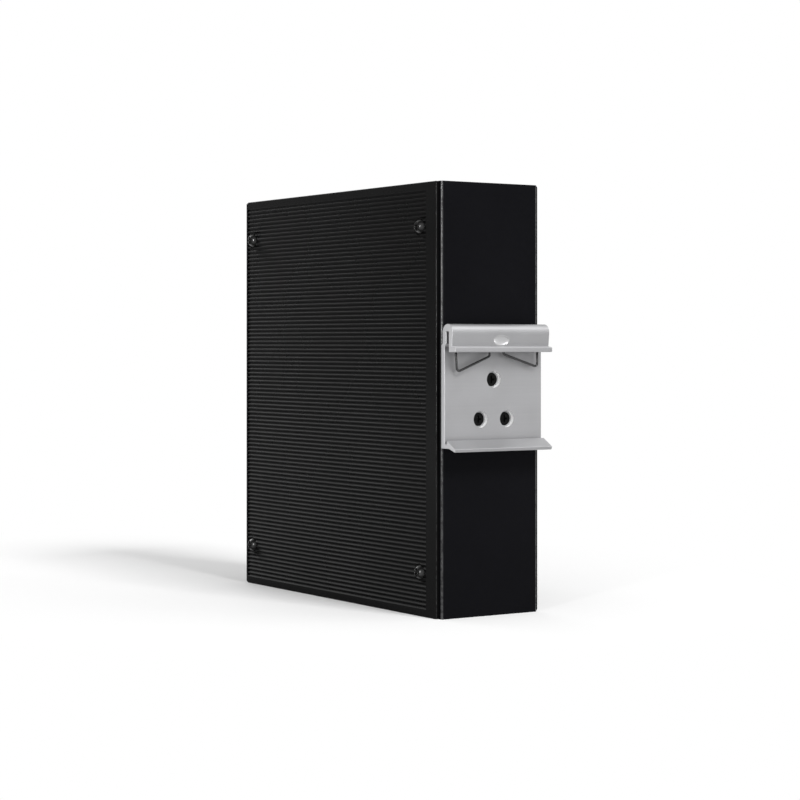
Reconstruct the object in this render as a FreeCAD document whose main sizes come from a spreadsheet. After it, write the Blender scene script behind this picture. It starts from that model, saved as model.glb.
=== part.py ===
import FreeCAD, Part
import Sketcher
import os
import re

# A DIN-rail ethernet switch in a folded steel housing: a chassis and a front
# panel of black sheet, two finned side covers, an extruded aluminium rail clip
# with a wire spring on the rear, and the board with its sockets inside.
#
# Millimetres. The origin is the middle of the housing's bottom face.
# +X is the width, +Y points out of the rear wall, at the rail, and +Z is up.
# The sockets are on the front, at -Y.

doc = FreeCAD.newDocument("din_rail_ethernet_switch")

# --------------------------------------------------------------------------
# Driving sizes
# --------------------------------------------------------------------------

SIZES = [
    ("housing_width", 42.0, "over the plates of both side covers"),
    ("housing_depth", 132.0, "front plane to rear plane"),
    ("housing_height", 146.0, "bottom plane to top plane"),
    ("sheet", 1.2, "chassis and front panel sheet"),
    ("bend_radius", 1.0, "outside radius of the folded edges"),
    ("flange_length", 20.0, "rear side flanges of the chassis, measured from the rear plane"),
    ("return_length", 14.0, "side returns of the front panel, measured from the front plane"),
    ("panel_round", 0.4, "rounding of the front panel's outline"),
    ("corner_relief", 0.5, "gap between a side flange and the top or bottom wall"),
    ("cover_sheet", 1.2, "plate of a side cover, over its fins"),
    ("cover_setback", 1.4, "rear edge of a cover, short of the rear plane"),
    ("cover_gap", 0.1, "gap between a cover and the front panel"),
    ("cover_corner", 0.9, "corner radius of a cover and of the front panel"),
    ("cover_round", 0.3, "rounding of a cover's rear edge"),
    ("fin_pitch", 1.5, "spacing of the fins on a side cover"),
    ("groove_depth", 0.45, "depth of the groove between two fins"),
    ("groove_mouth", 1.3, "width of a groove at the surface"),
    ("groove_floor", 0.2, "width of a groove at its floor"),
    ("fin_margin_end", 2.5, "plain band above and below the fins"),
    ("fin_margin_rear", 7.6, "plain band between the fins and the rear plane"),
    ("cover_screw_rear", 11.8, "rear cover screws, from the rear plane"),
    ("cover_screw_front", 4.75, "front cover screws, from the front plane"),
    ("cover_screw_end", 14.8, "cover screws, from the top and from the bottom"),
    ("spotface", 6.0, "diameter of the flat seat under a cover screw"),
    ("screw_shank", 3.0, "thread diameter of the small screws"),
    ("screw_length", 5.0, "length of the small pan head screws"),
    ("screw_head", 5.3, "diameter of a pan head"),
    ("screw_head_height", 1.9, "height of a pan head"),
    ("head_round_share", 0.62, "rounding of a pan head, as a share of its height"),
    ("screw_gap", 0.05, "radial gap between a thread and its hole"),
    ("screw_hole_gap", 0.2, "radial gap round a screw that passes through"),
    ("recess_width", 0.6, "one arm of a cross recess"),
    ("recess_share", 0.55, "span of a cross recess, as a share of the head"),
    ("recess_depth", 1.0, "depth of a cross recess"),
    ("clip_inset", 1.0, "ends of the rail clip, short of the housing's sides"),
    ("clip_bottom", 56.9, "underside of the clip's plate above the base"),
    ("clip_plate", 2.0, "plate of the rail clip"),
    ("clip_plate_height", 34.4, "height of the clip's plate"),
    ("hook_offset", 0.8, "hook's back, off the rear plane"),
    ("hook_inner", 3.0, "outer face of the hook's inner wall, off the rear plane"),
    ("hook_slot", 1.4, "slot of the hook"),
    ("hook_slot_top", 38.9, "ceiling of the slot above the clip's bottom"),
    ("hook_wall", 1.8, "outer wall of the hook at its foot"),
    ("hook_bulge", 0.5, "thickening of the hook's outer wall at its top"),
    ("hook_top", 41.4, "top of the hook above the clip's bottom"),
    ("hook_round", 2.7, "radius over the hook"),
    ("lip_bottom", 32.0, "underside of the hook's lip above the clip's bottom"),
    ("lip_height", 1.7, "thickness of the lip"),
    ("lip_reach", 2.1, "how far the lip stands out of the hook's wall"),
    ("lip_slope", 0.2, "fall of the lip's upper face"),
    ("foot_flat", 4.5, "level part of the foot's underside"),
    ("foot_reach", 7.9, "reach of the foot, off the rear plane"),
    ("foot_drop", 1.1, "how far the foot's tip hangs under the plate"),
    ("foot_crest", 2.8, "crest of the foot above the clip's bottom"),
    ("rail_groove", 1.4, "width of the groove that holds the rail's lower edge"),
    ("rail_groove_floor", 1.4, "floor of that groove above the clip's bottom"),
    ("edge_round", 0.4, "rounding of small edges"),
    ("cut_chamfer", 0.15, "deburred edges of the extrusion's cut ends"),
    ("stake_width", 6.2, "width of the staking mark that holds the spring"),
    ("stake_height", 3.3, "height of the staking mark"),
    ("stake_depth", 0.5, "depth of the staking mark"),
    ("stake_level", 35.9, "middle of the staking mark above the clip's bottom"),
    ("stake_boss", 3.0, "width of the bump that the mark raises in the slot"),
    ("clip_screw_top", 22.8, "upper clip screw above the clip's bottom"),
    ("clip_screw_low", 9.5, "lower clip screws above the clip's bottom"),
    ("clip_screw_spread", 5.4, "lower clip screws, off the middle"),
    ("clip_bore", 5.6, "straight bore over a clip screw"),
    ("clip_bore_depth", 1.35, "depth of that bore"),
    ("clip_drill", 3.6, "hole under a clip screw's head"),
    ("clip_head", 4.7, "head of a clip screw"),
    ("clip_screw_length", 6.0, "length of a clip screw"),
    ("nut_width", 6.0, "diameter of a press nut"),
    ("nut_height", 2.0, "height of a press nut"),
    ("wire", 0.8, "diameter of the spring wire"),
    ("spring_leg", 17.1, "outer legs of the spring, off the middle"),
    ("spring_low", 26.1, "lower bends of the spring above the clip's bottom"),
    ("spring_inner", 2.9, "inner bends of the spring, off the middle"),
    ("spring_knee", 31.4, "height of the inner bends above the clip's bottom"),
    ("spring_top", 38.1, "ends of the legs above the clip's bottom"),
    ("spring_bar", 36.9, "staked middle of the spring above the clip's bottom"),
    ("spring_bend", 1.0, "bend radius of the wire"),
    ("board", 1.6, "thickness of the main board"),
    ("board_rear", 10.0, "rear edge of the board, from the rear plane"),
    ("board_front", 2.4, "front edge of the board, from the front plane"),
    ("board_end", 6.0, "board's top and bottom edges, from the housing's"),
    ("standoff", 4.5, "length of a board standoff"),
    ("standoff_width", 5.0, "across the flats of a standoff"),
    ("standoff_end", 11.0, "standoffs, from the top and from the bottom"),
    ("standoff_rear", 17.0, "rear standoffs, from the rear plane"),
    ("standoff_front", 18.0, "front standoffs, from the front plane"),
    ("panel_gap", 0.3, "gap round what looks through the front panel"),
    ("panel_proud", 0.4, "how far the sockets stand out of the front panel"),
    ("jack_bottom", 16.0, "bottom of the socket block above the base"),
    ("jack_height", 26.5, "height of the socket block over the board"),
    ("jack_length", 30.0, "length of the socket block from front to rear"),
    ("jack_shell", 0.3, "shield of the socket block"),
    ("jack_end", 1.0, "end wall of the socket block beside its first socket's field"),
    ("port_count", 4.0, "sockets one above another"),
    ("port_pitch", 14.0, "spacing of the sockets"),
    ("port_width", 12.0, "width of a socket"),
    ("port_height", 7.4, "height of a socket without its latch channel"),
    ("port_depth", 16.0, "depth of a socket"),
    ("latch_width", 6.4, "width of the latch channel"),
    ("latch_depth", 1.7, "depth of the latch channel"),
    ("port_middle", 3.0, "wall between the two columns of sockets"),
    ("contact_count", 8.0, "spring contacts in a socket"),
    ("contact_pitch", 1.02, "spacing of the spring contacts"),
    ("contact_width", 0.5, "width of a spring contact"),
    ("contact_sheet", 0.35, "thickness of a spring contact"),
    ("contact_root", 5.0, "root of the contacts behind the socket's face"),
    ("contact_run", 7.0, "length of a contact from front to rear"),
    ("contact_drop", 2.4, "how far a contact reaches into its socket"),
    ("inlet_end", 8.0, "power inlet, from the top"),
    ("inlet_height", 8.6, "height of the power inlet over the board"),
    ("inlet_length", 12.0, "length of the power inlet from front to rear"),
    ("inlet_wall", 1.0, "walls of the power inlet"),
    ("inlet_depth", 9.2, "depth of the power inlet's hollow"),
    ("pole_count", 6.0, "pins of the power inlet"),
    ("pole_pitch", 5.08, "spacing of the inlet's pins"),
    ("pin_size", 1.0, "side of a square pin"),
    ("pin_reach", 4.6, "free length of a pin in the hollow"),
    ("pin_gap", 0.05, "gap round a pin in the inlet's floor"),
    ("key_width", 2.2, "keying notches in the inlet's outer wall"),
    ("key_depth", 5.0, "length of the keying notches"),
    ("light", 3.0, "diameter of a status light"),
    ("light_length", 8.5, "length of a status light"),
    ("light_proud", 0.8, "how far a light stands out of the front panel"),
    ("light_round", 1.0, "rounding of a light's tip"),
    ("light_rise", 3.0, "lowest status light above the socket block"),
    ("light_pitch", 4.5, "spacing of the status lights"),
    ("light_count", 3.0, "number of status lights"),
    ("light_over_board", 3.2, "middle of the lights over the board"),
    ("holder_end", 2.75, "ends of the lights' holder, past its last lights"),
    ("holder_height", 6.0, "height of the lights' holder over the board"),
    ("holder_front", 2.8, "front of the holder, from the front plane"),
    ("holder_length", 6.0, "length of the holder from front to rear"),
    ("chip_size", 20.0, "side of the switch chip"),
    ("chip_height", 1.6, "height of the switch chip over the board"),
    ("sink_gap", 5.4, "gap between the heat sink and the line transformers"),
    ("chip_level", 62.0, "middle of the chip above the base"),
    ("sink_size", 32.0, "side of the chip's heat sink"),
    ("sink_base", 2.0, "base of the heat sink"),
    ("sink_fin_height", 9.0, "fins of the heat sink"),
    ("sink_fin", 1.2, "thickness of a heat sink fin"),
    ("sink_fin_count", 7.0, "number of heat sink fins"),
    ("transformer_length", 13.0, "line transformer, along the height"),
    ("transformer_width", 9.0, "line transformer, from front to rear"),
    ("transformer_height", 5.5, "line transformer over the board"),
    ("part_gap", 2.0, "gap between neighbours on the board"),
    ("capacitor", 10.0, "diameter of a power capacitor"),
    ("capacitor_height", 16.0, "height of a power capacitor over the board"),
    ("capacitor_count", 3.0, "number of power capacitors"),
    ("capacitor_pitch", 12.0, "spacing of the power capacitors"),
    ("inductor_size", 12.0, "side of the power inductor"),
    ("inductor_height", 7.0, "height of the power inductor over the board"),
    ("earth_screw", 4.0, "thread diameter of the earth screw"),
    ("earth_head", 7.4, "head of the earth screw"),
    ("earth_head_height", 2.4, "height of the earth screw's head"),
    ("earth_length", 6.0, "length of the earth screw"),
    ("earth_level", 9.0, "earth screw above the base"),
    ("earth_side", 8.0, "earth screw, off the middle"),
    ("washer", 0.6, "thickness of the earth washer"),
    ("washer_width", 8.4, "diameter of the earth washer"),
    ("earth_nut_width", 7.6, "diameter of the earth nut"),
    ("earth_nut_height", 2.4, "height of the earth nut"),
]

sheet = doc.addObject("Spreadsheet::Sheet", "Sizes")
for row, (name, number, note) in enumerate(SIZES, start=1):
    sheet.set("A%d" % row, name)
    sheet.set("B%d" % row, str(number))
    sheet.set("C%d" % row, note)
    sheet.setAlias("B%d" % row, name)
doc.recompute()

NAMES = set(name for name, number, note in SIZES)

# Places that several pieces share, as expressions of the driving sizes
FRONT = "(-housing_depth / 2)"
REAR = "(housing_depth / 2)"
CHASSIS_HALF = "(housing_width / 2 - cover_sheet)"
BOARD_LEFT = "(-housing_width / 2 + cover_sheet + sheet + standoff)"
BOARD_FACE = "(-housing_width / 2 + cover_sheet + sheet + standoff + board)"
SCREW_RADIUS = "(screw_shank / 2 - screw_gap)"
JACK_SPAN = "(port_count * port_pitch + 2 * jack_end)"
JACK_FRONT = "(-housing_depth / 2 - panel_proud)"
BEHIND_JACKS = "(%s + jack_length + part_gap)" % JACK_FRONT
LIGHT_BOTTOM = "(jack_bottom + %s + light_rise)" % JACK_SPAN
INLET_SPAN = "(pole_count * pole_pitch + 2 * inlet_wall)"
INLET_BOTTOM = "(housing_height - inlet_end - %s)" % INLET_SPAN

# Sides of a hexagon standoff
HEXAGON = 6


def formula(text):
    """Turn a formula of size names into one that reads the sheet's cells."""
    def cell(match):
        word = match.group(0)
        return "Sizes." + word if word in NAMES else word
    return re.sub(r"[a-z_]+", cell, str(text))


def value(text):
    """Work out a formula of size names as a plain number."""
    return float(sheet.evalExpression(formula(text)))


def bind(thing, prop, text):
    """Bind a property to a formula of size names."""
    thing.setExpression(prop, formula(text))


def place(thing, x="0", y="0", z="0", rotation=None):
    """Put a sub-part where the sizes say, turned as it is fitted."""
    if rotation:
        thing.Placement = FreeCAD.Placement(FreeCAD.Vector(0, 0, 0), rotation)
    for axis, text in zip("xyz", (x, y, z)):
        bind(thing, "Placement.Base." + axis, text)


# --------------------------------------------------------------------------
# Helpers for bodies, sketches and features
# --------------------------------------------------------------------------

# How each origin plane looks along its own axis: 1 where its normal is positive
NORMAL = {"XY": 1, "XZ": -1, "YZ": 1}

EXPORTS = []


def new_body(label, export=True):
    """Start a body; one that is only copied into a group isn't exported."""
    body = doc.addObject("PartDesign::Body", label)
    body.Label = label
    body.AllowCompound = True
    if export:
        EXPORTS.append(body)
    return body


def new_sketch(body, name, plane, at):
    """Attach an empty sketch to one of the body's origin planes."""
    sketch = body.newObject("Sketcher::SketchObject", name)
    role = plane + "_Plane"
    support = [item for item in body.Origin.OriginFeatures if item.Role == role][0]
    sketch.AttachmentSupport = [(support, "")]
    sketch.MapMode = "FlatFace"
    sign = "" if NORMAL[plane] == 1 else "-"
    bind(sketch, "AttachmentOffset.Base.z", "%s(%s)" % (sign, at))
    return sketch


def pin_point(sketch, geometry, end, u, v):
    """Hold one point of a sketch at a place given by two formulas."""
    for kind, text in (("DistanceX", u), ("DistanceY", v)):
        number = value(text)
        index = sketch.addConstraint(Sketcher.Constraint(kind, -1, 1, geometry, end, number))
        sketch.setExpression("Constraints[%d]" % index, formula(text))


def add_loop(sketch, points, closed=True):
    """Draw straight lines through the points; returns the first line's index."""
    spots = [FreeCAD.Vector(value(u), value(v), 0) for u, v in points]
    count = len(spots) if closed else len(spots) - 1
    first = sketch.GeometryCount
    for i in range(count):
        sketch.addGeometry(Part.LineSegment(spots[i], spots[(i + 1) % len(spots)]), False)
    for i in range(count):
        pin_point(sketch, first + i, 1, *points[i])
        if i > 0:
            sketch.addConstraint(Sketcher.Constraint("Coincident", first + i - 1, 2, first + i, 1))
    if closed:
        sketch.addConstraint(Sketcher.Constraint("Coincident", first + count - 1, 2, first, 1))
    else:
        pin_point(sketch, first + count - 1, 2, *points[-1])
    return first


def outline(body, name, plane, loops, at="0"):
    """A sketch of one or more closed straight-sided loops."""
    sketch = new_sketch(body, name, plane, at)
    for points in loops:
        add_loop(sketch, points)
    return sketch


def rectangle(u0, u1, v0, v1):
    """The four corners of a rectangle, as formulas."""
    return [(u0, v0), (u1, v0), (u1, v1), (u0, v1)]


def both_sides(points):
    """A loop and its mirror image across the sketch's upright axis."""
    return [points, [("-(%s)" % u, v) for u, v in points]]


def circles(body, name, plane, centres, diameters, at="0"):
    """A sketch of circles; each centre gets a circle of each diameter."""
    sketch = new_sketch(body, name, plane, at)
    for u, v in centres:
        for diameter in diameters:
            middle = FreeCAD.Vector(value(u), value(v), 0)
            circle = Part.Circle(middle, FreeCAD.Vector(0, 0, 1), value(diameter) / 2)
            index = sketch.addGeometry(circle, False)
            pin_point(sketch, index, 3, u, v)
            size = Sketcher.Constraint("Diameter", index, value(diameter))
            number = sketch.addConstraint(size)
            sketch.setExpression("Constraints[%d]" % number, formula(diameter))
    return sketch


def plane_sign(sketch):
    """1 where the sketch's plane looks along a positive axis, else -1."""
    role = sketch.AttachmentSupport[0][0].Role
    return NORMAL[role.split("_")[0]]


def pad(body, sketch, length, way=1, middle=False):
    """Extrude a sketch along its axis, forwards, backwards or to both sides."""
    feature = body.newObject("PartDesign::Pad", sketch.Name + "_pad")
    feature.Profile = sketch
    bind(feature, "Length", length)
    feature.Midplane = middle
    feature.Reversed = way != plane_sign(sketch) and not middle
    finish(body, feature)
    return feature


def pocket(body, sketch, length, way=1, middle=False):
    """Cut a sketch into the body along its axis."""
    feature = body.newObject("PartDesign::Pocket", sketch.Name + "_cut")
    feature.Profile = sketch
    bind(feature, "Length", length)
    feature.Midplane = middle
    feature.Reversed = way == plane_sign(sketch) and not middle
    finish(body, feature)
    return feature


def revolve(body, sketch):
    """Turn a sketch once round its own upright axis."""
    feature = body.newObject("PartDesign::Revolution", sketch.Name + "_turn")
    feature.Profile = sketch
    feature.ReferenceAxis = (sketch, ["V_Axis"])
    feature.Angle = 360
    finish(body, feature)
    return feature


def row_of(body, feature, sketch, axis, spacing, count):
    """Repeat a feature along an axis of its sketch."""
    pattern = body.newObject("PartDesign::LinearPattern", feature.Name + "_row")
    pattern.Originals = [feature]
    pattern.Direction = (sketch, [axis])
    bind(pattern, "Occurrences", count)
    bind(pattern, "Length", "(%s) * (%s - 1)" % (spacing, count))
    finish(body, pattern)
    return pattern


def finish(body, feature):
    """Make a feature the body's last one and work it out."""
    sketch = getattr(feature, "Profile", None)
    if sketch:
        sketch[0].Visibility = False
    body.Tip = feature
    doc.recompute()


def near(number, text):
    """Whether a coordinate lies at the place that a formula gives."""
    return abs(number - value(text)) < 1e-4


def dimple(body, kind, name, centre, radii):
    """Add or cut an ellipsoid; centre and radii are formulas along X, Y and Z."""
    feature = body.newObject("PartDesign::%sEllipsoid" % kind, name)
    for prop, radius in zip(("Radius2", "Radius3", "Radius1"), radii):
        bind(feature, prop, radius)
    place(feature, *centre)
    finish(body, feature)


def edges_where(body, test, along=None):
    """Names of the edges whose two ends pass a test of x, y and z.

    With along, only edges that run along that axis count.
    """
    found = []
    for index, edge in enumerate(body.Tip.Shape.Edges, start=1):
        ends = [vertex.Point for vertex in edge.Vertexes]
        if len(ends) != 2 or not all(test(p.x, p.y, p.z) for p in ends):
            continue
        run = ends[1] - ends[0]
        if along is None or run.Length - abs(getattr(run, along)) < 1e-4:
            found.append("Edge%d" % index)
    return found


def circle_edges_where(body, radius, test):
    """Names of the full circles of a radius whose centre passes a test."""
    found = []
    for index, edge in enumerate(body.Tip.Shape.Edges, start=1):
        curve = edge.Curve
        if isinstance(curve, Part.Circle) and len(edge.Vertexes) == 1:
            if near(curve.Radius, radius) and test(curve.Center.x, curve.Center.y, curve.Center.z):
                found.append("Edge%d" % index)
    return found


def dress(body, kind, edges, size, prop):
    """Fillet or chamfer named edges of the body as it stands."""
    base = body.Tip
    feature = body.newObject("PartDesign::" + kind, body.Name + "_" + kind.lower())
    feature.Base = (base, edges)
    bind(feature, prop, size)
    finish(body, feature)
    return feature


def fillet(body, test, radius, along=None):
    """Round the edges whose ends pass a test."""
    return dress(body, "Fillet", edges_where(body, test, along), radius, "Radius")


def group(label, pattern, spots):
    """Copies of one pattern body, each at its spot and turn, as one sub-part."""
    copies = []
    for number, (x, y, z, rotation) in enumerate(spots, start=1):
        copy = doc.addObject("App::Link", "%s_%d" % (label, number))
        copy.LinkedObject = pattern
        place(copy, x, y, z, rotation)
        copies.append(copy)
    together = doc.addObject("Part::Compound", label)
    together.Label = label
    together.Links = copies
    EXPORTS.append(together)
    doc.recompute()
    return together


# A pattern body points along +Z; these turn it to face a side of the housing
TO_RIGHT = FreeCAD.Rotation(FreeCAD.Vector(0, 1, 0), 90)
TO_LEFT = FreeCAD.Rotation(FreeCAD.Vector(0, 1, 0), -90)
TO_REAR = FreeCAD.Rotation(FreeCAD.Vector(1, 0, 0), -90)
TO_FRONT = FreeCAD.Rotation(FreeCAD.Vector(1, 0, 0), 90)
UPRIGHT = FreeCAD.Rotation()
UPSIDE_DOWN = FreeCAD.Rotation(FreeCAD.Vector(0, 1, 0), 180)

# --------------------------------------------------------------------------
# Places of the fasteners
# --------------------------------------------------------------------------

COVER_SCREW_LEVELS = ["cover_screw_end", "housing_height - cover_screw_end"]
COVER_SCREW_REAR = "%s - cover_screw_rear" % REAR
COVER_SCREW_FRONT = "%s + cover_screw_front" % FRONT
CLIP_SCREWS = [
    ("0", "clip_screw_top"),
    ("-clip_screw_spread", "clip_screw_low"),
    ("clip_screw_spread", "clip_screw_low"),
]
BOARD_SCREWS = [
    (y, z)
    for y in ("%s + standoff_front" % FRONT, "%s - standoff_rear" % REAR)
    for z in ("standoff_end", "housing_height - standoff_end")
]
THREAD_HOLE = "screw_shank"
PASSING_HOLE = "screw_shank + 2 * screw_hole_gap"

# --------------------------------------------------------------------------
# Housing
# --------------------------------------------------------------------------


def side_flanges(body, name, y_from, y_to):
    """Fold a narrow flange along each upright edge of a wall."""
    strip = rectangle("%s - sheet" % CHASSIS_HALF, CHASSIS_HALF, y_from, y_to)
    sketch = outline(body, name, "XY", both_sides(strip), at="sheet + corner_relief")
    pad(body, sketch, "housing_height - 2 * (sheet + corner_relief)")


def make_chassis():
    """Top, rear wall and bottom, folded from one strip, with two rear side flanges."""
    body = new_body("chassis")
    back_of_panel = "%s + sheet" % FRONT
    wrap = outline(body, "chassis_wrap", "YZ", [[
        (back_of_panel, "0"),
        (REAR, "0"),
        (REAR, "housing_height"),
        (back_of_panel, "housing_height"),
        (back_of_panel, "housing_height - sheet"),
        ("%s - sheet" % REAR, "housing_height - sheet"),
        ("%s - sheet" % REAR, "sheet"),
        (back_of_panel, "sheet"),
    ]])
    pad(body, wrap, "2 * %s" % CHASSIS_HALF, middle=True)
    side_flanges(body, "chassis_flanges", "%s - flange_length" % REAR, "%s - sheet / 2" % REAR)
    fillet(body, lambda x, y, z: near(y, REAR), "bend_radius", along="z")
    centres = [(x, "clip_bottom + " + z) for x, z in CLIP_SCREWS]
    clip_holes = circles(body, "chassis_clip_holes", "XZ", centres, [PASSING_HOLE], at=REAR)
    pocket(body, clip_holes, "2 * sheet", way=-1)
    centres = [(COVER_SCREW_REAR, z) for z in COVER_SCREW_LEVELS]
    cover_holes = circles(body, "chassis_cover_holes", "YZ", centres, [THREAD_HOLE])
    pocket(body, cover_holes, "housing_width", middle=True)
    return body


def make_front_panel():
    """Front plate as wide as the housing, with a return behind each side and windows."""
    body = new_body("front_panel")
    plate = outline(body, "panel_plate", "XZ", [
        rectangle("-housing_width / 2", "housing_width / 2", "0", "housing_height"),
    ], at=FRONT)
    pad(body, plate, "sheet")
    fillet(body, lambda x, y, z: True, "cover_corner", along="y")
    fillet(body, lambda x, y, z: near(y, FRONT), "panel_round")
    side_flanges(body, "panel_returns", "%s + sheet / 2" % FRONT, "%s + return_length" % FRONT)
    jack_window = rectangle(
        "%s - panel_gap" % BOARD_FACE,
        "%s + jack_height + panel_gap" % BOARD_FACE,
        "jack_bottom - panel_gap",
        "jack_bottom + %s + panel_gap" % JACK_SPAN,
    )
    inlet_window = rectangle(
        "%s - panel_gap" % BOARD_FACE,
        "%s + inlet_height + panel_gap" % BOARD_FACE,
        "%s - panel_gap" % INLET_BOTTOM,
        "housing_height - inlet_end + panel_gap",
    )
    windows = outline(body, "panel_windows", "XZ", [jack_window, inlet_window], at=FRONT)
    pocket(body, windows, "2 * sheet")
    light_centre = [("%s + light_over_board" % BOARD_FACE, LIGHT_BOTTOM)]
    light_hole = circles(body, "panel_light_hole", "XZ", light_centre,
                         ["light + 2 * screw_gap"], at=FRONT)
    first_hole = pocket(body, light_hole, "2 * sheet")
    row_of(body, first_hole, light_hole, "V_Axis", "light_pitch", "light_count")
    earth_hole = circles(body, "panel_earth_hole", "XZ", [("earth_side", "earth_level")],
                         ["earth_screw + 2 * screw_hole_gap"], at=FRONT)
    pocket(body, earth_hole, "2 * sheet")
    centres = [(COVER_SCREW_FRONT, z) for z in COVER_SCREW_LEVELS]
    cover_holes = circles(body, "panel_cover_holes", "YZ", centres, [THREAD_HOLE])
    pocket(body, cover_holes, "housing_width", middle=True)
    return body


def make_side_cover(label):
    """A flat cover whose outside is finned from the front edge to a plain rear band."""
    body = new_body(label)
    rear_edge = "%s - cover_setback" % REAR
    plate = outline(body, label + "_plate", "YZ", [
        rectangle("%s + sheet + cover_gap" % FRONT, rear_edge, "0", "housing_height"),
    ])
    pad(body, plate, "cover_sheet")
    fillet(body, lambda x, y, z: near(y, rear_edge), "cover_corner", along="x")
    fillet(body, lambda x, y, z: near(x, "cover_sheet") and near(y, rear_edge), "cover_round", along="z")

    slope = "(groove_mouth - groove_floor) / 2"
    groove_bottom = "(fin_margin_end + (fin_pitch - groove_mouth) / 2)"
    groove = outline(body, label + "_groove", "XZ", [[
        ("cover_sheet", groove_bottom),
        ("cover_sheet - groove_depth", "%s + %s" % (groove_bottom, slope)),
        ("cover_sheet - groove_depth", "%s + %s + groove_floor" % (groove_bottom, slope)),
        ("cover_sheet", "%s + groove_mouth" % groove_bottom),
    ]], at="%s - fin_margin_rear" % REAR)
    first_groove = pocket(body, groove, "housing_depth", way=-1)
    count = "floor((housing_height - 2 * fin_margin_end) / fin_pitch + 0.001)"
    row_of(body, first_groove, groove, "V_Axis", "fin_pitch", count)

    centres = [(y, z) for y in (COVER_SCREW_FRONT, COVER_SCREW_REAR) for z in COVER_SCREW_LEVELS]
    seats = circles(body, label + "_seats", "YZ", centres, ["spotface"], at="cover_sheet")
    pocket(body, seats, "groove_depth", way=-1)
    holes = circles(body, label + "_holes", "YZ", centres, [PASSING_HOLE], at="cover_sheet")
    pocket(body, holes, "2 * cover_sheet", way=-1)
    return body


def make_pan_screw(label, radius, length, head, head_height):
    """A pan head screw with a cross recess: seat at the origin, head towards +Z."""
    body = new_body(label, export=False)
    turn = outline(body, label + "_profile", "XZ", [[
        ("0", "-(%s)" % length),
        (radius, "-(%s)" % length),
        (radius, "0"),
        ("(%s) / 2" % head, "0"),
        ("(%s) / 2" % head, head_height),
        ("0", head_height),
    ]])
    revolve(body, turn)
    rim = circle_edges_where(body, "(%s) / 2" % head, lambda x, y, z: near(z, head_height))
    dress(body, "Fillet", rim, "head_round_share * (%s)" % head_height, "Radius")
    cut_recess(body, label, head, head_height)
    return body


def cut_recess(body, label, head, level):
    """Cut a cross recess down into a screw's head."""
    arm = "(%s) * recess_share / 2" % head
    half = "recess_width / 2"
    cross = outline(body, label + "_recess", "XY", [[
        (arm, "-" + half), (arm, half), (half, half), (half, arm),
        ("-" + half, arm), ("-" + half, half), ("-(%s)" % arm, half), ("-(%s)" % arm, "-" + half),
        ("-" + half, "-" + half), ("-" + half, "-(%s)" % arm), (half, "-(%s)" % arm), (half, "-" + half),
    ]], at=level)
    pocket(body, cross, "recess_depth", way=-1)


def make_cover_screws(pan_screw):
    """Four pan head screws on each cover, into the panel's returns and the flanges."""
    for label, side, rotation in (("cover_screws_right", "1", TO_RIGHT),
                                  ("cover_screws_left", "-1", TO_LEFT)):
        x = "%s * (housing_width / 2 - groove_depth)" % side
        rows = (COVER_SCREW_FRONT, COVER_SCREW_REAR)
        group(label, pan_screw, [(x, y, z, rotation) for y in rows for z in COVER_SCREW_LEVELS])


# --------------------------------------------------------------------------
# Rail clip
# --------------------------------------------------------------------------

HOOK_FACE = "(hook_inner + hook_slot + hook_wall)"


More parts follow.
